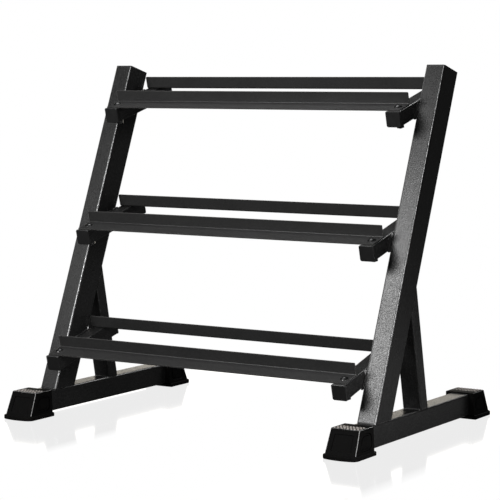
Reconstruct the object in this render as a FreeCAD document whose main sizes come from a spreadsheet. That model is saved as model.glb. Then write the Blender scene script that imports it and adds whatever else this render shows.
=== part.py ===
import FreeCAD, Part
import math
import os
import Sketcher

# A three-tier dumbbell rack: two welded side frames of steel tube joined by six bolted angle rails,
# standing on four rubber feet. Millimetres, +X to the right, +Y to the rear, +Z up. The origin is on the
# floor, midway between the frames and midway between the fronts and backs of the feet.

doc = FreeCAD.newDocument("dumbbell_rack")

# ---------------------------------------------------------------------------------------------------
# Driving dimensions. Angles are in degrees.
# ---------------------------------------------------------------------------------------------------
sizes = doc.addObject("Spreadsheet::Sheet", "sizes")
DRIVING = (
    ("frame_spacing", 930, "centre to centre of the two side frames"),
    ("base_length", 640, "base tube, end to end inside the feet"),
    ("base_width", 50, "base tube, side to side"),
    ("base_height", 55, "base tube, bottom to top"),
    ("upright_setback", 91, "front end of the base tube to the upright's front face"),
    ("upright_width", 50, "upright tube, side to side"),
    ("upright_depth", 76, "upright tube, front to back across its axis"),
    ("upright_length", 890, "front edge of the upright"),
    ("upright_lean", 22.3, "upright from the vertical, towards the rear"),
    ("upright_top_slope", 15, "top cut of the upright below the horizontal"),
    ("brace_setback", 321, "front end of the base tube to the brace's front face"),
    ("brace_width", 50, "brace tube, side to side"),
    ("brace_depth", 38, "brace tube, front to back across its axis"),
    ("brace_lean", 12, "brace from the vertical, towards the front"),
    ("frame_wall", 2.5, "wall of base tube, upright and brace"),
    ("frame_corner", 5, "outer corner radius of the frame tubes"),
    ("arm_size", 38, "side of the square arm tube"),
    ("arm_wall", 2, "wall of the arm tube"),
    ("arm_corner", 4, "outer corner radius of the arm tube"),
    ("arm_length", 252, "arm tube without its plugs"),
    ("arm_reach", 92, "front end of the arm tube to the upright, along the arm's top"),
    ("arm_tilt", 15, "arm from the horizontal, high at the rear"),
    ("arm_plate_thickness", 5, "spacer plate between arm and upright"),
    ("first_tier", 126, "along the upright's front from the base to the bottom arm's top"),
    ("tier_pitch", 336, "along the upright from one arm to the next"),
    ("rail_bolted_leg", 54, "rail leg that lies on the arms"),
    ("rail_standing_leg", 32, "rail leg that stands up"),
    ("rail_thickness", 3, "rail steel"),
    ("rail_bend", 5, "outer bend radius of the rail"),
    ("rail_inset", 4, "end of the arm tube to the edge of the rail"),
    ("rail_end_gap", 3, "end of the rail to the outer side of the arm"),
    ("rail_end_round", 2, "rounded top corner at each end of the standing leg"),
    ("bolt_offset", 25, "edge of the rail's bolted leg to the bolt"),
    ("bolt_diameter", 10, "bolt shank"),
    ("bolt_head", 21, "dome head diameter"),
    ("bolt_head_height", 5, "dome head height"),
    ("bolt_end", 2, "thread left standing below the nut"),
    ("bolt_clearance", 0.5, "diameter of a bolt hole over the bolt"),
    ("bolt_chamfer", 1, "bevel at the bolt's end"),
    ("thread_clearance", 0.2, "bore of the nut over the bolt"),
    ("washer_diameter", 22, "washer"),
    ("washer_thickness", 2, "washer"),
    ("nut_flats", 17, "nut across its flats"),
    ("nut_height", 8, "nut"),
    ("plug_head", 4, "arm plug, plate outside the tube"),
    ("plug_proud", 0.8, "arm plug, plate beyond each side of the tube"),
    ("plug_chamfer", 1.5, "arm plug, bevel round the plate"),
    ("plug_insert", 16, "arm plug, length inside the tube"),
    ("plug_clearance", 0.2, "arm plug to the inside of the tube"),
    ("cap_head", 3, "upright cap, plate outside the tube"),
    ("cap_insert", 18, "upright cap, length inside the tube"),
    ("cap_clearance", 0.3, "upright cap to the inside of the tube"),
    ("foot_grip", 58, "length of base tube inside a foot"),
    ("foot_sole", 8, "rubber below the base tube"),
    ("foot_wall", 3.5, "rubber above the base tube"),
    ("foot_cheek", 13, "rubber beside the base tube, at the top"),
    ("foot_top_length", 64, "top of the foot, collar to front"),
    ("foot_front_rake", 25, "front of the foot, top behind bottom"),
    ("foot_side_flare", 3, "side of the foot, top inside bottom"),
    ("foot_flange_thickness", 10, "plate round the foot's bottom"),
    ("foot_flange_lip", 5, "plate beyond the foot's body"),
    ("foot_flange_bow", 8, "outward curve of the plate's front edge"),
    ("foot_flange_round", 12, "front corners of the plate"),
    ("foot_corner", 3, "corner radius of the foot's body"),
    ("foot_clearance", 0.3, "foot to the sides and top of the base tube"),
)
for row, (alias, size, meaning) in enumerate(DRIVING, start=1):
    sizes.set(f"A{row}", meaning)
    sizes.set(f"B{row}", str(size))
    sizes.setAlias(f"B{row}", alias)
doc.recompute()

# ---------------------------------------------------------------------------------------------------
# Places and lengths that follow from the driving dimensions.
# ---------------------------------------------------------------------------------------------------
layout = doc.addObject("Spreadsheet::Sheet", "layout")
LEAN = "(sizes.upright_lean * 1 deg)"
FORWARD = "(sizes.brace_lean * 1 deg)"
TILT = "(sizes.arm_tilt * 1 deg)"
TOP_CUT = "((sizes.upright_lean - sizes.upright_top_slope) * 1 deg)"
TIERS = ("bottom", "middle", "top")
DERIVED = [
    ("frame_x", "sizes.frame_spacing / 2"),
    ("collar_y", "sizes.base_length / 2 - sizes.foot_grip"),
    ("base_top", "sizes.foot_sole + sizes.base_height"),
    ("upright_y", "sizes.upright_setback - sizes.base_length / 2"),
    ("upright_foot_rise", f"sizes.upright_depth * tan({LEAN})"),
    ("upright_top_rise", f"sizes.upright_depth * tan({TOP_CUT})"),
    ("brace_y", "sizes.brace_setback - sizes.base_length / 2"),
    ("brace_foot_drop", f"sizes.brace_depth * tan({FORWARD})"),
    ("brace_gap", f"brace_y - upright_y - sizes.upright_depth / cos({LEAN})"),
    ("brace_front_length", f"brace_gap * (sin({FORWARD}) + cos({FORWARD}) / tan({LEAN} + {FORWARD}))"),
    ("brace_top_rise", f"sizes.brace_depth / tan({LEAN} + {FORWARD})"),
    ("arm_outer_x", "frame_x - sizes.upright_width / 2 - sizes.arm_plate_thickness"),
    ("arm_x", "arm_outer_x - sizes.arm_size / 2"),
    ("arm_bore", "sizes.arm_size - 2 * sizes.arm_wall"),
    ("plate_length", f"sizes.upright_depth / cos({LEAN} + {TILT})"),
    ("plate_shift", f"sizes.arm_size * tan({LEAN} + {TILT})"),
    ("rail_length", "2 * (arm_outer_x - sizes.rail_end_gap)"),
    ("rear_rail_edge", "sizes.arm_length - sizes.rail_inset"),
    ("front_bolt", "sizes.rail_inset + sizes.bolt_offset"),
    ("rear_bolt", "rear_rail_edge - sizes.bolt_offset"),
    ("bolt_hole", "sizes.bolt_diameter + sizes.bolt_clearance"),
    ("nut_top", "sizes.arm_size + sizes.washer_thickness"),
    ("bolt_length", "sizes.rail_thickness + nut_top + sizes.nut_height + sizes.bolt_end"),
    ("foot_top", "base_top + sizes.foot_wall"),
    ("foot_top_width", "sizes.base_width + 2 * sizes.foot_cheek"),
    ("foot_body_width", "foot_top_width + 2 * sizes.foot_side_flare"),
    ("foot_body_length", "sizes.foot_top_length + sizes.foot_front_rake"),
    ("foot_flange_width", "foot_body_width + 2 * sizes.foot_flange_lip"),
    ("foot_flange_length", "foot_body_length + sizes.foot_flange_lip"),
    ("foot_bow_squares", "foot_flange_width ^ 2 / 4 + sizes.foot_flange_bow ^ 2"),
    ("foot_bow_radius", "foot_bow_squares / (2 * sizes.foot_flange_bow)"),
]
for number, tier in enumerate(TIERS):
    along = f"(sizes.first_tier + {number} * sizes.tier_pitch)"
    DERIVED.append((f"{tier}_y", f"upright_y + {along} * sin({LEAN}) - sizes.arm_reach * cos({TILT})"))
    DERIVED.append((f"{tier}_z", f"base_top + {along} * cos({LEAN}) - sizes.arm_reach * sin({TILT})"))
for row, (alias, formula) in enumerate(DERIVED, start=1):
    layout.set(f"A{row}", alias)
    layout.set(f"B{row}", f"={formula}")
    layout.setAlias(f"B{row}", alias)
doc.recompute()

LEAN_BACK = FreeCAD.Vector(-1, 0, 0)
LEAN_FORWARD = FreeCAD.Vector(1, 0, 0)
TURN = FreeCAD.Vector(0, 0, 1)
QUARTER_TURN = math.pi / 2
NEAR = 1e-6
parts = []


# ---------------------------------------------------------------------------------------------------
# Shared ways of making sketches and features.
# ---------------------------------------------------------------------------------------------------
def new_body(label):
    body = doc.addObject("PartDesign::Body", label)
    body.Label = label
    parts.append(body)
    return body


def place(thing, x, y, z):
    thing.setExpression("Placement.Base.x", x)
    thing.setExpression("Placement.Base.y", y)
    thing.setExpression("Placement.Base.z", z)


def tilt(thing, axis, angle):
    """Turn a body about an axis by an expression, which needs a turn that isn't zero to replace."""
    thing.Placement = FreeCAD.Placement(FreeCAD.Vector(), FreeCAD.Rotation(axis, 1))
    thing.setExpression("Placement.Rotation.Angle", angle)


def new_sketch(body, name, role, offset=None):
    plane = next(item for item in body.Origin.OriginFeatures if item.Role == role)
    sketch = body.newObject("Sketcher::SketchObject", name)
    sketch.AttachmentSupport = [(plane, "")]
    sketch.MapMode = "FlatFace"
    if offset is not None:
        sketch.setExpression("AttachmentOffset.Base.z", offset)
    return sketch


def value(expression):
    return float(layout.evalExpression(expression))


def bind(sketch, kind, *references, expression):
    """Add one dimension to the sketch and bind it to the sheets."""
    index = sketch.addConstraint(Sketcher.Constraint(kind, *references, value(expression)))
    sketch.setExpression(f"Constraints[{index}]", expression)


def rectangle(sketch, left, low, width, height, radius=None):
    """A rectangle from its lower left corner, with rounded corners if a radius is given."""
    x, y, w, h = (value(item) for item in (left, low, width, height))
    r = value(radius) if radius else 0
    first = sketch.GeometryCount
    corners = [(x, y), (x + w, y), (x + w, y + h), (x, y + h)]
    steps = [(1, 0), (0, 1), (-1, 0), (0, -1)]
    for number, ((px, py), (dx, dy)) in enumerate(zip(corners, steps)):
        qx, qy = corners[(number + 1) % 4]
        start = FreeCAD.Vector(px + dx * r, py + dy * r)
        finish = FreeCAD.Vector(qx - dx * r, qy - dy * r)
        sketch.addGeometry(Part.LineSegment(start, finish))
    if radius:
        for number, ((px, py), (dx, dy)) in enumerate(zip(corners, steps)):
            centre = FreeCAD.Vector(px + (dx - dy) * r, py + (dy + dx) * r)
            circle = Part.Circle(centre, FreeCAD.Vector(0, 0, 1), r)
            turned = (number + 2) * QUARTER_TURN
            sketch.addGeometry(Part.ArcOfCircle(circle, turned, turned + QUARTER_TURN))
            line_before = first + (number - 1) % 4
            sketch.addConstraint(Sketcher.Constraint("Tangent", line_before, 2, first + 4 + number, 1))
            sketch.addConstraint(Sketcher.Constraint("Tangent", first + 4 + number, 2, first + number, 1))
            if number:
                sketch.addConstraint(Sketcher.Constraint("Equal", first + 4, first + 4 + number))
        bind(sketch, "Radius", first + 4, expression=radius)
    else:
        for number in range(4):
            following = first + (number + 1) % 4
            sketch.addConstraint(Sketcher.Constraint("Coincident", first + number, 2, following, 1))
    for number in range(4):
        level = "Vertical" if number % 2 else "Horizontal"
        sketch.addConstraint(Sketcher.Constraint(level, first + number))
    bind(sketch, "DistanceX", -1, 1, first + 3, 1, expression=left)
    bind(sketch, "DistanceY", -1, 1, first, 1, expression=low)
    bind(sketch, "DistanceX", first + 3, 1, first + 1, 1, expression=width)
    bind(sketch, "DistanceY", first, 1, first + 2, 1, expression=height)


def outline(sketch, points):
    """A closed outline of straight lines through points given as pairs of expressions."""
    places = [FreeCAD.Vector(value(x), value(y)) for x, y in points]
    count = len(points)
    first = sketch.GeometryCount
    for number in range(count):
        sketch.addGeometry(Part.LineSegment(places[number], places[(number + 1) % count]))
    for number, (x, y) in enumerate(points):
        following = first + (number + 1) % count
        sketch.addConstraint(Sketcher.Constraint("Coincident", first + number, 2, following, 1))
        bind(sketch, "DistanceX", -1, 1, first + number, 1, expression=x)
        bind(sketch, "DistanceY", -1, 1, first + number, 1, expression=y)


def circle(sketch, x, y, radius):
    centre = FreeCAD.Vector(value(x), value(y))
    number = sketch.addGeometry(Part.Circle(centre, FreeCAD.Vector(0, 0, 1), value(radius)))
    bind(sketch, "DistanceX", -1, 1, number, 3, expression=x)
    bind(sketch, "DistanceY", -1, 1, number, 3, expression=y)
    bind(sketch, "Radius", number, expression=radius)


def tube_profile(sketch, width, depth, wall, corner, low):
    """The section of a rectangular tube, centred across, its lower side at low."""
    rectangle(sketch, f"-{width} / 2", low, width, depth, corner)
    rectangle(
        sketch,
        f"{wall} - {width} / 2",
        f"{low} + {wall}",
        f"{width} - 2 * {wall}",
        f"{depth} - 2 * {wall}",
        f"{corner} - {wall}",
    )


def pad(body, sketch, length, reverse=False, centred=False):
    feature = body.newObject("PartDesign::Pad", f"{sketch.Name}_pad")
    feature.Profile = sketch
    feature.SideType = "Symmetric" if centred else "One side"
    feature.Reversed = reverse
    feature.setExpression("Length", length)
    doc.recompute()
    return feature


def cut(body, sketch, length=None, reverse=False):
    """Cut a sketch out of a body: to a depth, or right through both ways."""
    before = body.Shape.Volume
    feature = body.newObject("PartDesign::Pocket", f"{sketch.Name}_cut")
    feature.Profile = sketch
    feature.Reversed = reverse
    if length is None:
        feature.SideType = "Two sides"
        feature.Type = "ThroughAll"
        feature.Type2 = "ThroughAll"
    else:
        feature.setExpression("Length", length)
    doc.recompute()
    if body.Shape.Volume >= before - NEAR:
        raise RuntimeError(f"{feature.Name} cuts nothing")
    return feature


def edges_of(body, chosen):
    """Names of the edges of the body's shape for which chosen(edge) holds."""
    return [f"Edge{n}" for n, edge in enumerate(body.Shape.Edges, start=1) if chosen(edge)]


def soften(body, kind, edges, size):
    """Fillet or chamfer the named edges of the body's last feature."""
    base = body.Tip
    feature = body.newObject(f"PartDesign::{kind}", f"{body.Name}_{kind.lower()}")
    feature.Base = (base, edges)
    feature.setExpression("Radius" if kind == "Fillet" else "Size", size)
    doc.recompute()
    if "Invalid" in feature.State:
        raise RuntimeError(f"{feature.Name} failed")


def wedge(body, name, low, rise, depth, above):
    """Saw the end of a leaning tube: side outline of the waste, low in front, rising by rise over depth."""
    waste = "sizes.frame_corner"
    slope = f"({rise} / {depth})"
    front_height = f"{low} - {waste} * {slope}"
    rear_height = f"{low} + ({depth} + {waste}) * {slope}"
    if above:
        outer = f"{low} + abs({rise}) + sizes.cap_insert + {waste}"
    else:
        outer = f"{low} - abs({rise}) - {waste}"
    sketch = new_sketch(body, name, "YZ_Plane")
    front = f"-{waste}"
    rear = f"{depth} + {waste}"
    outline(sketch, [(front, front_height), (rear, rear_height), (rear, outer), (front, outer)])
    cut(body, sketch)


# ---------------------------------------------------------------------------------------------------
# Side frames: base tube, upright, cap and brace. side is -1 for the left frame and 1 for the right.
# ---------------------------------------------------------------------------------------------------
def base_tube(name, side):
    """Rectangular tube from front to back, its open ends inside the feet."""
    body = new_body(f"{name}_base_tube")
    sketch = new_sketch(body, f"{name}_base_section", "XZ_Plane")
    height = "sizes.base_height"
    tube_profile(sketch, "sizes.base_width", height, "sizes.frame_wall", "sizes.frame_corner", "0")
    pad(body, sketch, "sizes.base_length", centred=True)
    place(body, f"{side} * layout.frame_x", "0", "sizes.foot_sole")


def upright(name, side):
    """Tube that stands on the base tube and leans back; local z runs along its front face."""
    body = new_body(f"{name}_upright")
    sketch = new_sketch(body, f"{name}_upright_section", "XY_Plane")
    depth = "sizes.upright_depth"
    tube_profile(sketch, "sizes.upright_width", depth, "sizes.frame_wall", "sizes.frame_corner", "0")
    pad(body, sketch, "sizes.upright_length + layout.upright_top_rise")
    wedge(body, f"{name}_upright_foot", "0", "layout.upright_foot_rise", depth, above=False)
    wedge(body, f"{name}_upright_top", "sizes.upright_length", "layout.upright_top_rise", depth, above=True)
    tilt(body, LEAN_BACK, LEAN)
    place(body, f"{side} * layout.frame_x", "layout.upright_y", "layout.base_top")


def upright_cap(name, side):
    """Plastic cap on the sloping top of the upright, with a block that goes down into the tube."""
    body = new_body(f"{name}_upright_cap")
    plate = new_sketch(body, f"{name}_cap_plate", "XY_Plane", "sizes.upright_length")
    width = "sizes.upright_width"
    depth = "sizes.upright_depth"
    rectangle(plate, f"-{width} / 2", "0", width, depth, "sizes.frame_corner")
    pad(body, plate, "layout.upright_top_rise + sizes.cap_head")
    wedge(body, f"{name}_cap_under", "sizes.upright_length", "layout.upright_top_rise", depth, above=False)
    block = new_sketch(body, f"{name}_cap_block", "XY_Plane", "sizes.upright_length - sizes.cap_insert")
    inset = "(sizes.frame_wall + sizes.cap_clearance)"
    rectangle(
        block,
        f"{inset} - {width} / 2",
        inset,
        f"{width} - 2 * {inset}",
        f"{depth} - 2 * {inset}",
        f"sizes.frame_corner - {inset}",
    )
    pad(body, block, "sizes.cap_insert + layout.upright_top_rise")
    top = "sizes.upright_length + sizes.cap_head"
    wedge(body, f"{name}_cap_over", top, "layout.upright_top_rise", depth, above=True)
    tilt(body, LEAN_BACK, LEAN)
    place(body, f"{side} * layout.frame_x", "layout.upright_y", "layout.base_top")


def rear_brace(name, side):
    """Tube that leans forward from the base tube and is mitred against the upright's rear face."""
    body = new_body(f"{name}_rear_brace")
    sketch = new_sketch(body, f"{name}_brace_section", "XY_Plane", "-layout.brace_foot_drop")
    depth = "sizes.brace_depth"
    tube_profile(sketch, "sizes.brace_width", depth, "sizes.frame_wall", "sizes.frame_corner", "0")
    pad(body, sketch, "layout.brace_foot_drop + layout.brace_front_length + layout.brace_top_rise")
    wedge(body, f"{name}_brace_foot", "0", "-layout.brace_foot_drop", depth, above=False)
    rise = "layout.brace_top_rise"
    wedge(body, f"{name}_brace_mitre", "layout.brace_front_length", rise, depth, above=True)
    tilt(body, LEAN_FORWARD, FORWARD)
    place(body, f"{side} * layout.frame_x", "layout.brace_y", "layout.base_top")


# ---------------------------------------------------------------------------------------------------
# Arms. Their local y runs along the arm's top from its front end, and local z stands square to it.
# ---------------------------------------------------------------------------------------------------
def arm(name, tier, side):
    """Square tube with two bolt holes from top to bottom."""
    body = new_body(f"{name}_{tier}_arm")
    sketch = new_sketch(body, f"{name}_{tier}_arm_section", "XZ_Plane")
    size = "sizes.arm_size"
    tube_profile(sketch, size, size, "sizes.arm_wall", "sizes.arm_corner", f"-{size}")
    pad(body, sketch, "sizes.arm_length", reverse=True)
    holes = new_sketch(body, f"{name}_{tier}_arm_holes", "XY_Plane")
    for along in ("layout.front_bolt", "layout.rear_bolt"):
        circle(holes, "0", along, "layout.bolt_hole / 2")
    cut(body, holes)
    tilt(body, LEAN_FORWARD, TILT)
    place(body, f"{side} * layout.arm_x", f"layout.{tier}_y", f"layout.{tier}_z")


def arm_plate(name, tier, side):
    """Steel plate that spaces the arm off the upright's inner face, cut along the upright's edges."""
    body = new_body(f"{name}_{tier}_arm_plate")
    sketch = new_sketch(body, f"{name}_{tier}_plate_outline", "YZ_Plane")
    reach = "sizes.arm_reach"
    length = "layout.plate_length"
    shift = "layout.plate_shift"
    bottom = "-sizes.arm_size"
    front_low = f"{reach} - {shift}"
    rear_low = f"{reach} + {length} - {shift}"
    outline(sketch, [(reach, "0"), (front_low, bottom), (rear_low, bottom), (f"{reach} + {length}", "0")])
    pad(body, sketch, "sizes.arm_plate_thickness", centred=True)
    tilt(body, LEAN_FORWARD, TILT)
    middle = f"{side} * (layout.arm_outer_x + sizes.arm_plate_thickness / 2)"
    place(body, middle, f"layout.{tier}_y", f"layout.{tier}_z")


def arm_plug(name, tier, side, end):
    """Push-in plastic plug: a bevelled plate over the tube's end and a block inside it."""
    body = new_body(f"{name}_{tier}_{end}_plug")
    outward = end == "rear"
    at_end = "sizes.arm_length" if outward else "0"
    proud = "sizes.plug_proud"
    plate = new_sketch(body, f"{name}_{tier}_{end}_plug_plate", "XZ_Plane", f"-{at_end}")
    width = f"(sizes.arm_size + 2 * {proud})"
    rectangle(plate, f"-{width} / 2", f"{proud} - {width}", width, width, f"sizes.arm_corner + {proud}")
    pad(body, plate, "sizes.plug_head", reverse=outward)
    face_y = value(f"{at_end} + sizes.plug_head" if outward else "-sizes.plug_head")
    rim = edges_of(body, lambda edge: all(abs(point.Point.y - face_y) < NEAR for point in edge.Vertexes))
    soften(body, "Chamfer", rim, "sizes.plug_chamfer")
    block = new_sketch(body, f"{name}_{tier}_{end}_plug_block", "XZ_Plane", f"-{at_end}")
    bore = "(layout.arm_bore - 2 * sizes.plug_clearance)"
    corner = "sizes.arm_corner - sizes.arm_wall - sizes.plug_clearance"
    rectangle(block, f"-{bore} / 2", f"-(sizes.arm_size + {bore}) / 2", bore, bore, corner)
    pad(body, block, "sizes.plug_insert", reverse=not outward)
    tilt(body, LEAN_FORWARD, TILT)
    place(body, f"{side} * layout.arm_x", f"layout.{tier}_y", f"layout.{tier}_z")


# ---------------------------------------------------------------------------------------------------
# Rails and their fasteners.
# ---------------------------------------------------------------------------------------------------
def rail(tier, end):
    """Bent angle: one leg bolted on the arms, the other standing at the edge nearer the rack's middle."""
    body = new_body(f"{tier}_{end}_rail")
    inward = "1" if end == "front" else "-1"
    edge = "sizes.rail_inset" if end == "front" else "layout.rear_rail_edge"
    bolt = "layout.front_bolt" if end == "front" else "layout.rear_bolt"
    sheet = "sizes.rail_thickness"
    heel = f"{edge} + {inward} * sizes.rail_bolted_leg"
    inner = f"{edge} + {inward} * (sizes.rail_bolted_leg - {sheet})"
    top = "sizes.rail_standing_leg"
    section = new_sketch(body, f"{tier}_{end}_rail_section", "YZ_Plane")
    outline(section, [(edge, "0"), (heel, "0"), (heel, top), (inner, top), (inner, sheet), (edge, sheet)])
    pad(body, section, "layout.rail_length", centred=True)

    def along_bend(at_y, at_z):
        def test(edge):
            ends = [vertex.Point for vertex in edge.Vertexes]
            return all(abs(point.y - at_y) < NEAR and abs(point.z - at_z) < NEAR for point in ends)
        return test

    soften(body, "Fillet", edges_of(body, along_bend(value(heel), 0)), "sizes.rail_bend")
    inner_bend = edges_of(body, along_bend(value(inner), value(sheet)))
    soften(body, "Fillet", inner_bend, f"sizes.rail_bend - {sheet}")
    half = value("layout.rail_length / 2")
    standing = value(top)

    def end_corner(edge):
        ends = [vertex.Point for vertex in edge.Vertexes]
        at_end = abs(ends[0].x - ends[-1].x) < NEAR and abs(abs(ends[0].x) - half) < NEAR
        return at_end and all(abs(point.z - standing) < NEAR for point in ends)

    soften(body, "Fillet", edges_of(body, end_corner), "sizes.rail_end_round")
    holes = new_sketch(body, f"{tier}_{end}_rail_holes", "XY_Plane")
    hole = "layout.bolt_hole"
    for side in (-1, 1):
        rectangle(holes, f"{side} * layout.arm_x - {hole} / 2", f"{bolt} - {hole} / 2", hole, hole)
    cut(body, holes)
    tilt(body, LEAN_FORWARD, TILT)
    place(body, "0", f"layout.{tier}_y", f"layout.{tier}_z")


def bolt_pattern():
    """One carriage bolt: dome head, square neck in the rail and shank; the head's underside is at z = 0."""
    body = doc.addObject("PartDesign::Body", "carriage_bolt")
    half = new_sketch(body, "bolt_half_section", "XZ_Plane")
    head = "sizes.bolt_head / 2"
    shank = "sizes.bolt_diameter / 2"
    height = "sizes.bolt_head_height"
    low = "-layout.bolt_length"
    chamfer = "sizes.bolt_chamfer"
    points = [
        ("0", height),
        ("0", low),
        (f"{shank} - {chamfer}", low),
        (shank, f"{low} + {chamfer}"),
        (shank, "0"),
        (head, "0"),
    ]
    outline_with_dome(half, points, f"({head} * {head} + {height} * {height}) / (2 * {height})")
    turn = body.newObject("PartDesign::Revolution", "bolt_turned")
    turn.Profile = half
    turn.ReferenceAxis = (half, ["V_Axis"])
    turn.Angle = 360
    neck = new_sketch(body, "bolt_neck_section", "XY_Plane")
    side = "sizes.bolt_diameter"
    rectangle(neck, f"-{side} / 2", f"-{side} / 2", side, side)
    pad(body, neck, "sizes.rail_thickness", reverse=True)
    return body


def outline_with_dome(sketch, points, radius):
    """Straight lines through the points, closed by an arc centred on the axis from last to first."""
    places = [FreeCAD.Vector(value(x), value(y)) for x, y in points]
    last = len(points) - 1
    for number in range(last):
        sketch.addGeometry(Part.LineSegment(places[number], places[number + 1]))
    reach = value(radius)
    centre = FreeCAD.Vector(0, places[0].y - reach)
    rim = places[last] - centre
    start = FreeCAD.Vector(1, 0, 0).getAngle(rim)
    dome = Part.ArcOfCircle(Part.Circle(centre, FreeCAD.Vector(0, 0, 1), reach), start, QUARTER_TURN)
    sketch.addGeometry(dome)
    sketch.addConstraint(Sketcher.Constraint("Coincident", last, 1, last - 1, 2))
    sketch.addConstraint(Sketcher.Constraint("Coincident", last, 2, 0, 1))
    sketch.addConstraint(Sketcher.Constraint("PointOnObject", last, 3, -2))
    for number, (x, y) in enumerate(points):
        if number < last:
            bind(sketch, "DistanceX", -1, 1, number, 1, expression=x)
            bind(sketch, "DistanceY", -1, 1, number, 1, expression=y)
        if 0 < number < last:
            sketch.addConstraint(Sketcher.Constraint("Coincident", number - 1, 2, number, 1))
    bind(sketch, "DistanceX", -1, 1, last, 1, expression=points[last][0])
    bind(sketch, "DistanceY", -1, 1, last, 1, expression=points[last][1])


def washer_pattern():
    """One flat washer with its top at z = 0."""
    body = doc.addObject("PartDesign::Body", "flat_washer")
    ring = new_sketch(body, "washer_ring", "XY_Plane")
    circle(ring, "0", "0", "sizes.washer_diameter / 2")
    circle(ring, "0", "0", "layout.bolt_hole / 2")
    pad(body, ring, "sizes.washer_thickness", reverse=True)
    return body


def nut_pattern():
    """One hexagon nut with its top at z = 0."""
    body = doc.addObject("PartDesign::Body", "hexagon_nut")
    prism = body.newObject("PartDesign::AdditivePrism", "nut_hexagon")
    prism.Polygon = 6
    prism.setExpression("Circumradius", "sizes.nut_flats / sqrt(3)")
    prism.setExpression("Height", "sizes.nut_height")
    prism.setExpression("Placement.Base.z", "-sizes.nut_height")
    bore = new_sketch(body, "nut_bore", "XY_Plane")
    circle(bore, "0", "0", "(sizes.bolt_diameter + sizes.thread_clearance) / 2")
    doc.recompute()
    cut(body, bore)
    return body


def fastener_set(pattern, label, tier, level):
    """Four copies of one fastener at the ends of a tier's two rails, as separate solids."""
    links = []
    for side in (-1, 1):
        for along in ("layout.front_bolt", "layout.rear_bolt"):
            link = doc.addObject("App::Link", f"{tier}_{pattern.Name}_{len(links) + 1}")
            link.LinkedObject = pattern
            link.LinkTransform = False
            tilt(link, LEAN_FORWARD, TILT)
            across_y = f"layout.{tier}_y + {along} * cos({TILT}) - ({level}) * sin({TILT})"
            across_z = f"layout.{tier}_z + {along} * sin({TILT}) + ({level}) * cos({TILT})"
            place(link, f"{side} * layout.arm_x", across_y, across_z)
            links.append(link)
    group = doc.addObject("Part::Compound", f"{tier}_{label}")
    group.Label = f"{tier}_{label}"
    group.Links = links
    parts.append(group)


# ---------------------------------------------------------------------------------------------------
# Feet. Local y = 0 is the collar where the base tube enters, and the foot points along -y.
# ---------------------------------------------------------------------------------------------------
def foot(name, end, side):
    """Moulded rubber shoe: raked, flared body on a bowed flange, with a pocket for the tube's end."""
    body = new_body(f"{name}_{end}_foot")
    label = f"{name}_{end}_foot"
    flange = new_sketch(body, f"{label}_flange", "XY_Plane")
    bowed_outline(flange, "layout.foot_flange_width", "layout.foot_flange_length", "layout.foot_bow_radius")
    pad(body, flange, "sizes.foot_flange_thickness")
    length = value("layout.foot_flange_length")

    def front_corner(edge):
        ends = [vertex.Point for vertex in edge.Vertexes]
        upright_edge = abs(ends[0].x - ends[-1].x) < NEAR and abs(ends[0].y - ends[-1].y) < NEAR
        return upright_edge and abs(ends[0].y + length) < NEAR

    soften(body, "Fillet", edges_of(body, front_corner), "sizes.foot_flange_round")
    bottom = new_sketch(body, f"{label}_body_bottom", "XY_Plane", "sizes.foot_flange_thickness")
    width = "layout.foot_body_width"
    depth = "layout.foot_body_length"
    rectangle(bottom, f"-{width} / 2", f"-{depth}", width, depth, "sizes.foot_corner")
    top = new_sketch(body, f"{label}_body_top", "XY_Plane", "layout.foot_top")
    width = "layout.foot_top_width"
    depth = "sizes.foot_top_length"
    rectangle(top, f"-{width} / 2", f"-{depth}", width, depth, "sizes.foot_corner")
    doc.recompute()
    loft = body.newObject("PartDesign::AdditiveLoft", f"{label}_body")
    loft.Profile = bottom
    loft.Sections = [top]
    loft.Ruled = True
    doc.recompute()
    pocket = new_sketch(body, f"{label}_pocket", "XZ_Plane")
    gap = "sizes.foot_clearance"
    width = f"(sizes.base_width + 2 * {gap})"
    rectangle(pocket, f"-{width} / 2", "sizes.foot_sole", width, f"sizes.base_height + {gap}")
    cut(body, pocket, "sizes.foot_grip", reverse=True)
    if end == "rear":
        body.Placement = FreeCAD.Placement(FreeCAD.Vector(), FreeCAD.Rotation(TURN, 180))
    forward = "-1" if end == "front" else "1"
    place(body, f"{side} * layout.frame_x", f"{forward} * layout.collar_y", "0")


def bowed_outline(sketch, width, length, radius):
    """Straight back and sides and a front edge that bows outward, from y = 0 towards -y."""
    half = value(width) / 2
    far = value(length)
    reach = value(radius)
    bow = reach - (reach * reach - half * half) ** 0.5
    corners = [(-half, -far), (-half, 0), (half, 0), (half, -far)]
    points = [FreeCAD.Vector(x, y) for x, y in corners]
    for number in range(3):
        sketch.addGeometry(Part.LineSegment(points[number], points[number + 1]))
    nose = FreeCAD.Vector(0, -far - bow)
    sketch.addGeometry(Part.Arc(points[0], nose, points[3]))
    for number in range(2):
        sketch.addConstraint(Sketcher.Constraint("Coincident", number, 2, number + 1, 1))
    sketch.addConstraint(Sketcher.Constraint("Coincident", 3, 1, 0, 1))
    sketch.addConstraint(Sketcher.Constraint("Coincident", 3, 2, 2, 2))
    bind(sketch, "DistanceX", -1, 1, 1, 1, expression=f"-{width} / 2")
    bind(sketch, "DistanceX", -1, 1, 1, 2, expression=f"{width} / 2")
    sketch.addConstraint(Sketcher.Constraint("PointOnObject", 1, 1, -1))
    sketch.addConstraint(Sketcher.Constraint("PointOnObject", 1, 2, -1))
    sketch.addConstraint(Sketcher.Constraint("Vertical", 0))
    sketch.addConstraint(Sketcher.Constraint("Vertical", 2))
    bind(sketch, "DistanceY", -1, 1, 0, 1, expression=f"-{length}")
    bind(sketch, "DistanceY", -1, 1, 2, 2, expression=f"-{length}")
    bind(sketch, "Radius", 3, expression=radius)


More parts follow.
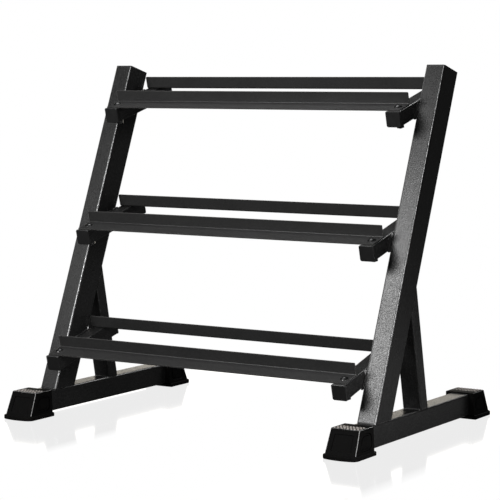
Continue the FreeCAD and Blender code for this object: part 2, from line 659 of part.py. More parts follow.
# ---------------------------------------------------------------------------------------------------
# The whole rack.
# ---------------------------------------------------------------------------------------------------
for name, side in (("left", -1), ("right", 1)):
    base_tube(name, side)
    upright(name, side)
    upright_cap(name, side)
    rear_brace(name, side)
    for tier in TIERS:
        arm(name, tier, side)
        arm_plate(name, tier, side)
        for end in ("front", "rear"):
            arm_plug(name, tier, side, end)
    for end in ("front", "rear"):
        foot(name, end, side)

bolt = bolt_pattern()
washer = washer_pattern()
nut = nut_pattern()
for tier in TIERS:
    for end in ("front", "rear"):
        rail(tier, end)
    fastener_set(bolt, "bolts", tier, "sizes.rail_thickness")
    fastener_set(washer, "washers", tier, "-sizes.arm_size")
    fastener_set(nut, "nuts", tier, "-layout.nut_top")

doc.recompute()
failed = [item.Name for item in doc.Objects if "Invalid" in item.State or "Error" in item.State]
if failed:
    raise RuntimeError(f"failed objects: {failed}")
for item in parts:
    if item.Shape.isNull() or not item.Shape.isValid():
        raise RuntimeError(f"{item.Label} has no valid shape")

os.makedirs("parts", exist_ok=True)
for item in parts:
    item.Shape.exportStep(f"parts/{item.Label}.step")
    print(item.Label, len(item.Shape.Solids), round(item.Shape.Volume))
print(len(parts), "nodes")
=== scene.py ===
import math
import random

import bmesh
import bpy
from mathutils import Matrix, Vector


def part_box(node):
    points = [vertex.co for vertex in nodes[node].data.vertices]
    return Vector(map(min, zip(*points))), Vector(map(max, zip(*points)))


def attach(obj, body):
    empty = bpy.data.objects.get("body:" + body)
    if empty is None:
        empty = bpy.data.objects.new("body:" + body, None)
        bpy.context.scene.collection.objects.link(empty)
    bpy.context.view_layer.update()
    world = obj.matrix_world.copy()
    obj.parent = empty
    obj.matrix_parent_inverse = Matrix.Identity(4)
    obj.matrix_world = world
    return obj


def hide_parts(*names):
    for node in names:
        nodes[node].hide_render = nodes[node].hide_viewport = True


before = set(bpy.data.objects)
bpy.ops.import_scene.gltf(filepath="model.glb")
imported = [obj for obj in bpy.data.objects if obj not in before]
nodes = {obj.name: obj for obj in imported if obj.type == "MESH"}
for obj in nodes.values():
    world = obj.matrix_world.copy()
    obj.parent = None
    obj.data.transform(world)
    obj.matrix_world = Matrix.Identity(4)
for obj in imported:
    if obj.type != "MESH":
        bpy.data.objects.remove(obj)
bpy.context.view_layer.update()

# -------------------------------------------------------------------------------------------------
# Side frames: base tube, leaning upright and rear brace on each side. Welded mild steel tube,
# blasted and coated with a matt black polyester powder that cures to a fine sandy grain.
# -------------------------------------------------------------------------------------------------
SIDES = ("left", "right")


class Signal:
    """A number that varies over a surface. Arithmetic on signals adds the Math nodes it needs."""

    def __init__(self, graph, socket):
        self.graph = graph
        self.socket = socket

    def __add__(self, other):
        return self.graph.maths("ADD", self, other)

    def __radd__(self, other):
        return self.graph.maths("ADD", other, self)

    def __sub__(self, other):
        return self.graph.maths("SUBTRACT", self, other)

    def __rsub__(self, other):
        return self.graph.maths("SUBTRACT", other, self)

    def __mul__(self, other):
        return self.graph.maths("MULTIPLY", self, other)

    def __rmul__(self, other):
        return self.graph.maths("MULTIPLY", other, self)

    def __pow__(self, other):
        return self.graph.maths("POWER", self, other)

    def __abs__(self):
        return self.graph.maths("ABSOLUTE", self, 0)


class Graph:
    """The nodes of a material or of the world, and the one way in which they are added."""

    def __init__(self, tree):
        self.tree = tree

    def node(self, kind, settings=(), sockets=()):
        made = self.tree.nodes.new("ShaderNode" + kind)
        for setting, value in dict(settings).items():
            setattr(made, setting, value)
        for name, value in dict(sockets).items():
            self.join(value, made.inputs[name])
        return made

    def join(self, value, socket):
        if isinstance(value, Signal):
            value = value.socket
        if isinstance(value, bpy.types.NodeSocket):
            self.tree.links.new(value, socket)
        else:
            socket.default_value = value

    def maths(self, operation, first, second):
        made = self.node("Math", {"operation": operation}, {0: first, 1: second})
        return Signal(self, made.outputs[0])

    def clamp(self, signal):
        return Signal(self, self.node("Clamp", (), {"Value": signal}).outputs[0])

    def above(self, signal, level, steepness):
        """0 up to `level`, rising from there to 1."""
        return self.clamp((signal - level) * steepness)

    def below(self, signal, level, steepness):
        """1 well under `level`, falling to 0 where the signal reaches it."""
        return self.clamp((level - signal) * steepness)


class Finish(Graph):
    """One surface finish: a material whose Principled shader is fed by procedural signals."""

    def __init__(self, name, constants):
        self.material = bpy.data.materials.new(name)
        self.material.use_nodes = True
        super().__init__(self.material.node_tree)
        self.shader = self.tree.nodes["Principled BSDF"]
        for socket, value in constants.items():
            self.shader.inputs[socket].default_value = value
        self.place = self.node("TexCoord").outputs["Object"]

    def where(self, axis):
        """The place on the rack along X (0), Y (1) or Z (2), in metres."""
        return Signal(self, self.node("SeparateXYZ", (), {0: self.place}).outputs[axis])

    def noise(self, grain, detail, roughness=0.5, stretch=(1, 1, 1)):
        """Soft noise from 0 to 1 whose lumps are about `grain` metres across."""
        place = self.node("Mapping", (), {"Vector": self.place, "Scale": stretch}).outputs[0]
        sockets = {"Vector": place, "Scale": 1 / grain, "Detail": detail, "Roughness": roughness}
        return Signal(self, self.node("TexNoise", (), sockets).outputs["Fac"])

    def edges(self, width):
        """1 on sharp and rounded outer edges, fading to 0 about `width` metres away from them."""
        rounded = self.node("Bevel", {"samples": 8}, {"Radius": width}).outputs["Normal"]
        true = self.node("NewGeometry").outputs["Normal"]
        dot = self.node("VectorMath", {"operation": "DOT_PRODUCT"}, {0: rounded, 1: true})
        return 1 - Signal(self, dot.outputs["Value"])

    def facing(self, axis):
        """How far the surface faces along X (0), Y (1) or Z (2), from -1 to 1."""
        normal = self.node("NewGeometry").outputs["Normal"]
        return Signal(self, self.node("SeparateXYZ", (), {0: normal}).outputs[axis])

    def blend(self, amount, low, high):
        """A colour between two colours."""
        made = self.node("Mix", {"data_type": "RGBA"}, {0: amount, 6: low, 7: high})
        return made.outputs[2]

    def bump(self, height, distance, strength):
        sockets = {"Height": height, "Distance": distance, "Strength": strength}
        return self.node("Bump", (), sockets).outputs["Normal"]

    def feed(self, **signals):
        sockets = {
            "colour": "Base Color",
            "roughness": "Roughness",
            "metallic": "Metallic",
            "normal": "Normal",
        }
        for name, value in signals.items():
            self.join(value, self.shader.inputs[sockets[name]])


def grey(level, warmth=0.0):
    return (level * (1 + warmth), level, level * (1 - warmth), 1)


def powder_coat(name, grain, grain_depth, gloss, grit, deep, pale, glint):
    """Cured powder: a sandy grain, cloudy patches where it laid thicker, and paler rubbed
    edges, which are worn coat and also a painted edge highlight.

    `corner` is a painted highlight line: a pale, metallic colour along the rounded upper corners
    between a tube's front and its side.
    """
    coat = Finish(name, {"IOR": 1.5})
    sand = coat.noise(grain, 2, 0.6)
    dust = coat.noise(grain * 0.3, 2)
    cloud = coat.noise(0.09, 2)
    scuff = coat.noise(0.004, 4, 0.7)
    edge = coat.edges(0.0022) * 6 - 0.3
    scuffed = scuff * 3.4 - 1.0
    # Paler rubbed edges: worn coat, and also a painted highlight along the edges.
    rubbed_and_highlit = coat.clamp(edge * scuffed)
    sideways = coat.facing(0) ** 2
    turning = coat.above(sideways, 0.10, 10) * coat.below(sideways, 0.45, 9)
    upwards = coat.facing(2)
    leaning = coat.clamp(upwards * 8) * coat.below(upwards, 0.60, 8)
    # Painted highlight line: pale metallic colour on the rounded corners that lean up between
    # front and side.
    corner = turning * leaning * coat.clamp(scuff * 5 - 1.7)
    speck = coat.clamp((sand - 0.5) * 4 + 0.5)
    shade = coat.clamp(speck * 0.8 + cloud * 0.5 - 0.15)
    glitter = coat.above(coat.noise(grain * 0.8, 1), 0.56, 9)
    powder = coat.blend(glitter, coat.blend(shade, deep, pale), glint)
    coat_with_edge_highlight = coat.blend(rubbed_and_highlit * 0.6, powder, grey(0.24, 0.02))
    coat.feed(
        colour=coat.blend(corner * 0.8, coat_with_edge_highlight, grey(0.9)),
        roughness=gloss - (speck - 0.5) * grit + (cloud - 0.5) * 0.08 - rubbed_and_highlit * 0.08,
        metallic=corner * 0.9,
        normal=coat.bump(sand + dust * 0.35, grain_depth, 0.6),
    )
    return coat.material


def paint(material, *names):
    for name in names:
        slots = nodes[name].data.materials
        slots.clear()
        slots.append(material)


frame_paint = powder_coat(
    "frame_powder_coat",
    grain=0.0024,
    grain_depth=0.00029,
    gloss=0.35,
    grit=0.20,
    deep=grey(0.0025),
    pale=grey(0.016, 0.01),
    glint=grey(0.038),
)
for side in SIDES:
    paint(frame_paint, f"{side}_base_tube", f"{side}_upright", f"{side}_rear_brace")

# -------------------------------------------------------------------------------------------------
# Welds: the beads that hold upright, brace and arms to each other. Each is laid by hand in short
# overlapping puddles across the joint and painted over with the frame.
# -------------------------------------------------------------------------------------------------
TIERS = ("bottom", "middle", "top")
BASE_TOP = 0.063
LEAN = math.radians(22.3)
BRACE_LEAN = math.radians(12)
UPRIGHT_DEPTH = 0.076
BRACE_DEPTH = 0.038
ARM_TILT = math.radians(15)
BEAD = 0.0024
PLATE_BEAD = 0.0016
BEAD_SETBACK = 0.003
UPPER_BEAD_RUN = (0.78, 0.1)
LOWER_BEAD_RUN = (0.22, 0.9)
PUDDLE = 0.0027
PUDDLE_DRIFT = 0.06
BEAD_WIDTH, PUDDLE_SWELL, UNSTEADY = 0.86, 0.2, 0.02
END_WIDTH, END_GROWTH = 0.45, 9
RING_STEP = 0.0009
RING_SIDES = 10
weld_hand = random.Random(11)


def lay_bead(mesh, start, end, radius):
    """A bead of about `radius` that swells with each puddle and thins out at both ends."""
    along = end - start
    steps = max(4, round(along.length / RING_STEP))
    axis = along.normalized()
    across = axis.orthogonal().normalized()
    over = axis.cross(across)
    drift = weld_hand.uniform(-PUDDLE_DRIFT, PUDDLE_DRIFT)
    rings = []
    for step in range(steps + 1):
        way = step / steps
        swell = abs(math.sin(math.pi * step * RING_STEP / PUDDLE + drift))
        shake = weld_hand.uniform(-UNSTEADY, UNSTEADY)
        width = radius * (BEAD_WIDTH + PUDDLE_SWELL * swell + shake)
        width *= min(1, END_WIDTH + END_GROWTH * min(way, 1 - way))
        centre = start + along * way
        ring = []
        for corner in range(RING_SIDES):
            turn = 2 * math.pi * corner / RING_SIDES
            outwards = across * math.cos(turn) + over * math.sin(turn)
            ring.append(mesh.verts.new(centre + outwards * width))
        rings.append(ring)
    for one, two in zip(rings, rings[1:]):
        for corner in range(RING_SIDES):
            after = (corner + 1) % RING_SIDES
            mesh.faces.new((one[corner], one[after], two[after], two[corner]))
    mesh.faces.new(rings[0][::-1])
    mesh.faces.new(rings[-1])


def piece_from(mesh, name, material, smooth_below):
    """Turns a mesh under construction into a piece that rides on the rack."""
    bmesh.ops.recalc_face_normals(mesh, faces=mesh.faces)
    data = bpy.data.meshes.new(name)
    mesh.to_mesh(data)
    mesh.free()
    data.shade_smooth()
    data.set_sharp_from_angle(angle=math.radians(smooth_below))
    data.materials.append(material)
    piece = bpy.data.objects.new(name, data)
    bpy.context.scene.collection.objects.link(piece)
    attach(piece, "root")
    return piece


def joint_points():
    """Where the tubes meet in the side view, as (y, z): both faces of upright and brace."""
    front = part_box("left_upright")[0].y
    behind = front + UPRIGHT_DEPTH / math.cos(LEAN)
    brace_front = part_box("left_rear_brace")[1].y - BRACE_DEPTH / math.cos(BRACE_LEAN)
    yield front, BASE_TOP
    yield behind, BASE_TOP
    for start in (brace_front, brace_front + BRACE_DEPTH / math.cos(BRACE_LEAN)):
        yield start, BASE_TOP
        rise = (start - behind) / (math.tan(LEAN) + math.tan(BRACE_LEAN))
        yield start - rise * math.tan(BRACE_LEAN), BASE_TOP + rise


for side in SIDES:
    lowest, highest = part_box(f"{side}_upright")
    middle = (lowest.x + highest.x) / 2
    reach = (highest.x - lowest.x) / 2 - BEAD_SETBACK
    welds = bmesh.new()
    for y, z in joint_points():
        lay_bead(welds, Vector((middle - reach, y, z)), Vector((middle + reach, y, z)), BEAD)
    for tier in TIERS:
        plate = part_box(f"{side}_{tier}_arm_plate")
        face = (plate[0].x + plate[1].x) / 2
        slope = Vector((0, math.cos(ARM_TILT), math.sin(ARM_TILT)))
        run = slope * (UPRIGHT_DEPTH / math.cos(LEAN + ARM_TILT))
        top_rear = Vector((face, plate[1].y, plate[1].z))
        bottom_front = Vector((face, plate[0].y, plate[0].z))
        upper = [top_rear - run * share for share in UPPER_BEAD_RUN]
        lower = [bottom_front + run * share for share in LOWER_BEAD_RUN]
        lay_bead(welds, *upper, PLATE_BEAD)
        lay_bead(welds, *lower, PLATE_BEAD)
    piece_from(welds, f"{side}_frame_welds", frame_paint, 60)

# -------------------------------------------------------------------------------------------------
# Support arms: three square tubes on each side frame, high at the rear, each standing off the
# upright on a thin plate. They are coated together with the frames.
# -------------------------------------------------------------------------------------------------
for side in SIDES:
    for tier in TIERS:
        paint(frame_paint, f"{side}_{tier}_arm", f"{side}_{tier}_arm_plate")

# -------------------------------------------------------------------------------------------------
# Plugs and caps: injection-moulded black nylon pressed into the arm ends and the tops of the
# uprights. Satin, with the fine spark-eroded texture of the mould and slightly polished rims.
# -------------------------------------------------------------------------------------------------
nylon = Finish("moulded_black_nylon", {"IOR": 1.48})
eroded = nylon.noise(0.0007, 3, 0.6)
flow = nylon.noise(0.012, 2, 0.5, (1, 1, 0.4))
rim = nylon.edges(0.0012) * 5 - 0.3
fingered = nylon.noise(0.003, 3) * 2.6 - 0.7
handled = nylon.clamp(rim * fingered)
mottle = nylon.clamp(eroded * 0.8 + flow * 0.5 - 0.2)
nylon.feed(
    colour=nylon.blend(
        handled * 0.6,
        nylon.blend(mottle, grey(0.005), grey(0.013)),
        grey(0.075),
    ),
    roughness=0.46 + (flow - 0.5) * 0.16 - handled * 0.12,
    normal=nylon.bump(eroded, 0.00012, 0.4),
)
for side in SIDES:
    paint(nylon.material, f"{side}_upright_cap")
    for tier in TIERS:
        paint(nylon.material, f"{side}_{tier}_front_plug", f"{side}_{tier}_rear_plug")

# -------------------------------------------------------------------------------------------------
# Rails: six folded angles of 3 mm sheet, one leg bolted down on the arms, the other standing to
# keep the dumbbell heads from rolling off. A smoother satin black coat than the frames.
# -------------------------------------------------------------------------------------------------
rail_paint = powder_coat(
    "rail_powder_coat",
    grain=0.0016,
    grain_depth=0.00010,
    gloss=0.43,
    grit=0.06,
    deep=grey(0.012),
    pale=grey(0.029, 0.01),
    glint=grey(0.036),
)
for tier in TIERS:
    paint(rail_paint, f"{tier}_front_rail", f"{tier}_rear_rail")

# -------------------------------------------------------------------------------------------------
# Fasteners: carriage bolts, washers and hexagon nuts in black-oxide steel. Bare metal shows where
# a spanner or a fingernail has rubbed the oxide off the edges.
# -------------------------------------------------------------------------------------------------
oxide = Finish("black_oxide_steel", {"IOR": 1.6})
tarnish = oxide.noise(0.0022, 4, 0.65)
rolled = oxide.noise(0.0005, 2, 0.5, (1, 1, 0.2))
edge = oxide.edges(0.0008) * 4 - 0.3
spanner_marks = tarnish * 3.2 - 1.1
bare = oxide.clamp(edge * spanner_marks)
oxide.feed(
    colour=oxide.blend(
        bare * 0.7,
        oxide.blend(tarnish, grey(0.003), grey(0.010, -0.05)),
        grey(0.34, 0.03),
    ),
    roughness=0.22 + (tarnish - 0.5) * 0.2 + rolled * 0.05,
    metallic=bare * 0.9,
    normal=oxide.bump(tarnish + rolled * 0.5, 0.0001, 0.35),
)
for tier in TIERS:
    paint(oxide.material, f"{tier}_bolts", f"{tier}_washers", f"{tier}_nuts")

# -------------------------------------------------------------------------------------------------
# Feet: one-piece moulded rubber boots pushed over the ends of the base tubes. A wide flange on the
# floor, sloping front, recessed panels on three sides and a diamond tread on the step.
# -------------------------------------------------------------------------------------------------
FLANGE_HEIGHT = 0.010
FLANGE_LIP = 0.005
FLANGE_BOW = 0.008
FLANGE_CORNER = 0.012
FLANGE_ROUND = 0.0022
SIDE_FLARE = 0.003
FRONT_RAKE = 0.025
BOOT_CORNER = 0.0028
SHOULDER = 0.0014
SOLE_EDGE = 0.0012
BOW_STEPS = 12
ARC_STEPS = 6
STUD_ROWS, STUD_COLUMNS = 5, 8
ROW_PITCH, COLUMN_PITCH = 0.0068, 0.0086
FIRST_ROW = 0.0062
STUD_LENGTH, STUD_WIDTH, STUD_HEIGHT = 0.0074, 0.0078, 0.0014
STUD_ROOT = 0.0004
ROOT_SCALE, CROWN_SCALE = 1.12, 0.55
OUTER_EDGE = 0.034
FRONT_SLOPE = 0.4386
FRONT_SILL = 0.3475
ABOVE_FLANGE = 0.011
RIM_LEVEL = 0.060
STUD_LEVEL = 0.0664
foot_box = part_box("right_front_foot")
foot_middle = (foot_box[0].x + foot_box[1].x) / 2

rubber = Finish("moulded_black_rubber", {"IOR": 1.5, "Specular IOR Level": 0.02})
pore = rubber.noise(0.0006, 3, 0.6)
bloom = rubber.noise(0.014, 3, 0.6)
patchy = rubber.noise(0.0028, 4, 0.7)
sideways = rubber.facing(0) ** 2
upwards = rubber.facing(2)
height = rubber.where(2)
from_middle = abs(abs(rubber.where(0)) - foot_middle)
ahead = abs(rubber.where(1)) + height * FRONT_SLOPE
outermost = rubber.above(from_middle, OUTER_EDGE, 900) * rubber.above(ahead, FRONT_SILL, 600)
slopes = rubber.above(sideways, 0.08, 10) * rubber.below(sideways, 0.70, 9)
slopes = slopes * rubber.above(height, ABOVE_FLANGE, 900)
# Painted highlight: a pale line down the vertical front edges of each boot.
edge_highlight_line = slopes * outermost
# Painted shade: the sloping walls of the recessed panels are coloured near black.
groove_shade = slopes - edge_highlight_line
# Pale rims on the tread studs and the top shoulder: trodden wear, and also painted glints.
rim_glints_and_wear = rubber.above(upwards, 0.5, 9) * rubber.below(upwards, 0.93, 9)
rim_glints_and_wear = rim_glints_and_wear * rubber.above(height, RIM_LEVEL, 400)
# Painted highlights and wear together, broken into patches.
painted_glints_and_wear = rubber.clamp(edge_highlight_line + rim_glints_and_wear) * rubber.clamp(patchy * 4.5 - 1.3)
on_stud = rubber.above(height, STUD_LEVEL, 1600)
mottle = rubber.clamp(pore * 0.6 + bloom * 0.7 - 0.2)
clean = rubber.blend(mottle, grey(0.003), grey(0.008, 0.03))
rubber.feed(
    colour=rubber.blend(
        painted_glints_and_wear,
        rubber.blend(groove_shade, clean, grey(0.0006)),
        rubber.blend(on_stud, grey(0.34, 0.01), (0.38, 0.345, 0.32, 1)),
    ),
    roughness=0.62 + (bloom - 0.5) * 0.2 - painted_glints_and_wear * 0.15,
    normal=rubber.bump(pore + bloom * 0.4, 0.00016, 0.4),
)


def inset_loop(corners, margin, radius):
    """The four-sided outline moved in by `margin`, its corners rounded by `radius`."""
    normal = (corners[1] - corners[0]).cross(corners[2] - corners[1]).normalized()
    moved = []
    for number, corner in enumerate(corners):
        before = (corner - corners[number - 1]).normalized()
        after = (corners[(number + 1) % 4] - corner).normalized()
        inward = normal.cross(before) + normal.cross(after)
        moved.append(corner + inward * margin / (1 + before.dot(after)))
    loop = []
    for number, corner in enumerate(moved):
        back = (moved[number - 1] - corner).normalized() * radius
        on = (moved[(number + 1) % 4] - corner).normalized() * radius
        for step in range(ARC_STEPS):
            way = step / (ARC_STEPS - 1)
            loop.append(corner + back * (1 - way) ** 2 + on * way**2)
    return loop, normal


def panel(mesh, corners, levels):
    """Fills a flat four-sided face with nested rounded steps, each (margin, radius, depth)."""
    points = [vertex.co.copy() for vertex in corners]
    loops = []
    for margin, radius, depth in levels:
        loop, normal = inset_loop(points, margin, radius)
        loops.append([mesh.verts.new(point - normal * depth) for point in loop])
    first = loops[0]
    for number, corner in enumerate(corners):
        start = number * ARC_STEPS
        for step in range(ARC_STEPS - 1):
            mesh.faces.new((corner, first[start + step + 1], first[start + step]))
        after = (number + 1) % 4
        arc_end = first[start + ARC_STEPS - 1]
        mesh.faces.new((corner, corners[after], first[after * ARC_STEPS], arc_end))
    for one, two in zip(loops, loops[1:]):
        count = len(one)
        for step in range(count):
            after = (step + 1) % count
            mesh.faces.new((one[step], one[after], two[after], two[step]))
    mesh.faces.new(loops[-1])


def boot_outline(half_width, front, corner, bow=0.0, bow_steps=1):
    """Plan from the collar at y = 0 round the front, anticlockwise from above.

    `bow` curves the front outwards, drawn with `bow_steps` stretches.
    """
    outline = [(-half_width, 0)]
    for sign, start in ((-1, math.pi), (1, 1.5 * math.pi)):
        for step in range(ARC_STEPS):
            turn = start + math.pi / 2 * step / (ARC_STEPS - 1)
            x = sign * (half_width - corner) + corner * math.cos(turn)
            outline.append((x, front + corner + corner * math.sin(turn)))
        if sign < 0:
            for step in range(1, bow_steps):
                outline.append(((half_width - corner) * (2 * step / bow_steps - 1), front))
    outline.append((half_width, 0))
    return [(x, y - bow * (1 - (x / half_width) ** 2) * (y < -corner)) for x, y in outline]


def stack(mesh, rings):
    """Walls between rings of the same outline; one face closes them at the collar."""
    for one, two in zip(rings, rings[1:]):
        for number in range(len(one) - 1):
            yield one[number], one[number + 1], two[number + 1], two[number]
    mesh.faces.new([ring[-1] for ring in rings] + [ring[0] for ring in reversed(rings)])


def diamond(mesh, x, y, z, length, width, height):
    """One raised stud of the tread: a low four-sided frustum rooted in the top of the boot."""
    rings = []
    for level, scale in ((-STUD_ROOT, ROOT_SCALE), (height, CROWN_SCALE)):
        ring = []
        for dx, dy in ((-1, 0), (0, -1), (1, 0), (0, 1)):
            point = (x + dx * length / 2 * scale, y + dy * width / 2 * scale, z + level)
            ring.append(mesh.verts.new(point))
        rings.append(ring)
    low, high = rings
    for corner in range(4):
        after = (corner + 1) % 4
        mesh.faces.new((low[corner], low[after], high[after], high[corner]))
    mesh.faces.new(high)
    mesh.faces.new(low[::-1])


front_panel = ((0.011, 0.004, 0), (0.0122, 0.0035, 0.0011))
side_ring = (
    (0.009, 0.018, 0),
    (0.0104, 0.017, 0.0014),
    (0.0140, 0.014, 0.0014),
    (0.0154, 0.013, 0.0002),
)


def make_boot(lowest, highest):
    """A boot that points to -Y, its collar at y = 0, its middle at x = 0, its sole at z = 0."""
    half_flange = (highest.x - lowest.x) / 2
    length = highest.y - lowest.y
    top = highest.z
    half_low = half_flange - FLANGE_LIP
    half_high = half_low - SIDE_FLARE
    front_low = -(length - FLANGE_BOW - FLANGE_LIP)
    front_high = front_low + FRONT_RAKE
    boot = bmesh.new()

    def ring_of(z, half_width, front, corner, *bow):
        outline = boot_outline(half_width, front, corner, *bow)
        return [boot.verts.new((x, y, z)) for x, y in outline]

    rings = [ring_of(FLANGE_HEIGHT * 0.7, half_low, front_low, BOOT_CORNER)]
    for step in range(ARC_STEPS):
        turn = math.pi / 2 * step / (ARC_STEPS - 1)
        inset = SHOULDER * (1 - math.cos(turn))
        level = top - SHOULDER * (1 - math.sin(turn))
        rings.append(ring_of(level, half_high - inset, front_high + inset, BOOT_CORNER - inset))
    low, high = rings[:2]
    last = len(low) - 1
    flats = {low[0]: side_ring, low[ARC_STEPS]: front_panel, low[last - 1]: side_ring}
    for wall in stack(boot, rings):
        if wall[0] in flats:
            panel(boot, wall, flats[wall[0]])
        else:
            boot.faces.new(wall)
    boot.faces.new(rings[-1])
    boot.faces.new(low[::-1])

    for row in range(STUD_ROWS):
        shift = COLUMN_PITCH / 2 if row % 2 else 0
        for column in range(STUD_COLUMNS - row % 2):
            x = (column - (STUD_COLUMNS - 1) / 2) * COLUMN_PITCH + shift
            y = front_high + FIRST_ROW + row * ROW_PITCH
            diamond(boot, x, y, top, STUD_LENGTH, STUD_WIDTH, STUD_HEIGHT)

    flange = []
    flange_front = front_low - FLANGE_LIP
    for level, inset in (
        (0, SOLE_EDGE),
        (SOLE_EDGE, 0),
        (FLANGE_HEIGHT - FLANGE_ROUND, 0),
        (FLANGE_HEIGHT - FLANGE_ROUND * 0.3, FLANGE_ROUND * 0.3),
        (FLANGE_HEIGHT, FLANGE_ROUND),
    ):
        curve = (FLANGE_CORNER - inset, FLANGE_BOW, BOW_STEPS)
        flange.append(ring_of(level, half_flange - inset, flange_front + inset, *curve))
    for wall in stack(boot, flange):
        boot.faces.new(wall)
    boot.faces.new(flange[-1])
    boot.faces.new(flange[0][::-1])
    return boot


for side in SIDES:
    for end, facing in (("front", 1), ("rear", -1)):
        lowest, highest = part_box(f"{side}_{end}_foot")
        collar = highest.y if facing > 0 else lowest.y
        boot = make_boot(lowest, highest)
        for vertex in boot.verts:
            x, y, z = vertex.co
            vertex.co = ((lowest.x + highest.x) / 2 + facing * x, collar + facing * y, z)
        piece = piece_from(boot, f"{side}_{end}_boot", rubber.material, 32)
        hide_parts(f"{side}_{end}_foot")

# -------------------------------------------------------------------------------------------------
# Studio: a seamless white floor whose faint sheen lies only beside the base tubes and mirrors
# white walls that nothing else sees. Softboxes in front, above and behind, a narrow strip that
# draws the edges, a small lamp at the right foot, and a low warm panel far behind on the left.
# -------------------------------------------------------------------------------------------------
FLOOR_REACH = 30
floor_mesh = bmesh.new()
bmesh.ops.create_grid(floor_mesh, x_segments=4, y_segments=4, size=FLOOR_REACH)
floor_data = bpy.data.meshes.new("studio_floor")
floor_mesh.to_mesh(floor_data)
floor_mesh.free()
floor = bpy.data.objects.new("studio_floor", floor_data)
bpy.context.scene.collection.objects.link(floor)

FLOOR_SHEEN = 0.17
FLOOR_BOUNCE = 0.055
POOLS = (((1.15, 0.6, 0), 0.2), ((-1.3, -1.0, 0), 0.12))
SHEEN_STRIPS = ((-0.56, -0.14), (0.37, 0.70))
SHEEN_LENGTH = 0.85
SHEEN_FADES = 0.05
sweep = Finish("white_sweep", {})
sweep.tree.nodes.remove(sweep.shader)
seen = sweep.node("LightPath").outputs["Is Camera Ray"]
lit = sweep.node("Emission", (), {"Color": grey(1), "Strength": 1.0})
sheen = sweep.node("BsdfGlossy", (), {"Color": grey(1), "Roughness": 0.1})
bounce = FLOOR_BOUNCE
for pool_place, pool_light in POOLS:
    ends = {0: sweep.place, 1: pool_place}
    away = sweep.node("VectorMath", {"operation": "DISTANCE"}, ends).outputs["Value"]
    bounce = sweep.clamp(1 - Signal(sweep, away)) * pool_light + bounce
unlit = sweep.node("Emission", (), {"Color": grey(1), "Strength": 0.0})
dim = sweep.node("MixShader", (), {0: bounce, 1: unlit.outputs[0], 2: lit.outputs[0]})
across = sweep.where(0)
along = sweep.where(1)
steepness = 1 / SHEEN_FADES
nearby = 0
for left, right in SHEEN_STRIPS:
    strip = sweep.above(across, left, steepness) * sweep.below(across, right, steepness)
    nearby = strip * FLOOR_SHEEN + nearby
nearby = nearby * sweep.below(abs(along), SHEEN_LENGTH, steepness)
polished = sweep.node("MixShader", (), {0: nearby, 1: lit.outputs[0], 2: sheen.outputs[0]})
either = sweep.node("MixShader", (), {0: seen, 1: dim.outputs[0], 2: polished.outputs[0]})
sweep.join(either.outputs[0], sweep.tree.nodes["Material Output"].inputs["Surface"])
floor_data.materials.append(sweep.material)

ROOM_LIGHT = 0.032
world = bpy.data.worlds.new("studio")
world.use_nodes = True
bpy.context.scene.world = world
room = Graph(world.node_tree)
backdrop = room.tree.nodes["Background"]
room.join(grey(1), backdrop.inputs["Color"])
room.join(1.0, backdrop.inputs["Strength"])
dusk = room.node("Background", (), {"Color": grey(1), "Strength": ROOM_LIGHT})
seen = room.node("LightPath").outputs["Is Camera Ray"]
either = room.node("MixShader", (), {0: seen, 1: dusk.outputs[0], 2: backdrop.outputs[0]})
room.join(either.outputs[0], room.tree.nodes["World Output"].inputs["Surface"])


def softbox(
    name, place, aim, width, height, radiance, colour=(1, 1, 1), spread=180, only=None
):
    """A rectangular lamp of even brightness that the camera doesn't see.

    `spread` narrows its beam, in degrees, and `only` names the pieces that it lights.
    """
    lamp = bpy.data.lights.new(name, "AREA")
    lamp.shape = "RECTANGLE"
    lamp.size = width
    lamp.size_y = height
    lamp.energy = radiance * math.pi * width * height
    lamp.color = colour
    lamp.spread = math.radians(spread)
    box = bpy.data.objects.new(name, lamp)
    box.location = place
    box.rotation_euler = (Vector(aim) - Vector(place)).to_track_quat("-Z", "Y").to_euler()
    box.visible_camera = False
    if only:
        box.light_linking.receiver_collection = only
    bpy.context.scene.collection.objects.link(box)


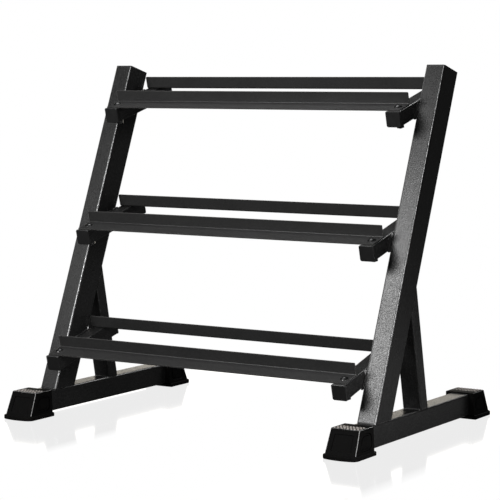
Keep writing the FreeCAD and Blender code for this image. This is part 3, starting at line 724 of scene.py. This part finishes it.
softbox("key_softbox", (-0.62, -2.05, 1.56), (0.46, -0.14, 0.30), 1.15, 1.0, 14.0)
softbox("left_fill", (-2.0, -1.75, 1.5), (-0.46, -0.1, 0.4), 0.8, 0.8, 1.2)
softbox("edge_strip", (1.9, -2.3, 2.2), (0.0, 0.0, 0.4), 0.30, 1.6, 9.0)
softbox("foot_light", (1.6, -0.5, 0.3), (0.5, -0.3, 0.03), 0.5, 0.35, 2.4, spread=55)
softbox("top_softbox", (-0.6, 0.2, 2.9), (0, 0, 0.5), 1.6, 1.2, 4.0)
softbox("low_panel", (-3.3, 5.2, 0.85), (0, 0, 0.3), 5.0, 1.9, 1.75, (1, 0.935, 0.82))
softbox("rear_softbox", (0.4, 3.1, 3.0), (0, 0, 0.4), 1.6, 1.2, 12.0)
floor_only = bpy.data.collections.new("floor_only")
floor_only.objects.link(floor)
WALL_AWAY = 9
WALL_WIDTH = 2 * WALL_AWAY
WALL_HEIGHT = 8
eye_level = (0, 0, WALL_HEIGHT / 2)
for wall, x, y in (("left", -1, 0), ("right", 1, 0), ("front", 0, -1), ("rear", 0, 1)):
    place = (x * WALL_AWAY, y * WALL_AWAY, WALL_HEIGHT / 2)
    softbox(f"{wall}_wall", place, eye_level, WALL_WIDTH, WALL_HEIGHT, 1.0, only=floor_only)
softbox("ceiling", (0, 0, WALL_HEIGHT), (0, 0, 0), WALL_WIDTH, WALL_WIDTH, 1.0, only=floor_only)

# -------------------------------------------------------------------------------------------------
# Camera: a long lens a little above the middle tier, seeing the front and the right-hand side.
# -------------------------------------------------------------------------------------------------
AIM = Vector((0.0, 0.007, 0.424))
DISTANCE = 4.691
TURN = math.radians(32.29)
RISE = math.radians(5.33)
FOCAL_LENGTH = 134.3
SENSOR_WIDTH = 36
lens = bpy.data.cameras.new("camera")
lens.lens = FOCAL_LENGTH
lens.sensor_width = SENSOR_WIDTH
camera = bpy.data.objects.new("camera", lens)
camera.location = AIM + DISTANCE * Vector((math.sin(TURN), -math.cos(TURN), math.tan(RISE)))
camera.rotation_euler = (math.pi / 2 - RISE, 0, TURN)
bpy.context.scene.collection.objects.link(camera)
bpy.context.scene.camera = camera
bpy.context.scene.view_settings.view_transform = "Standard"
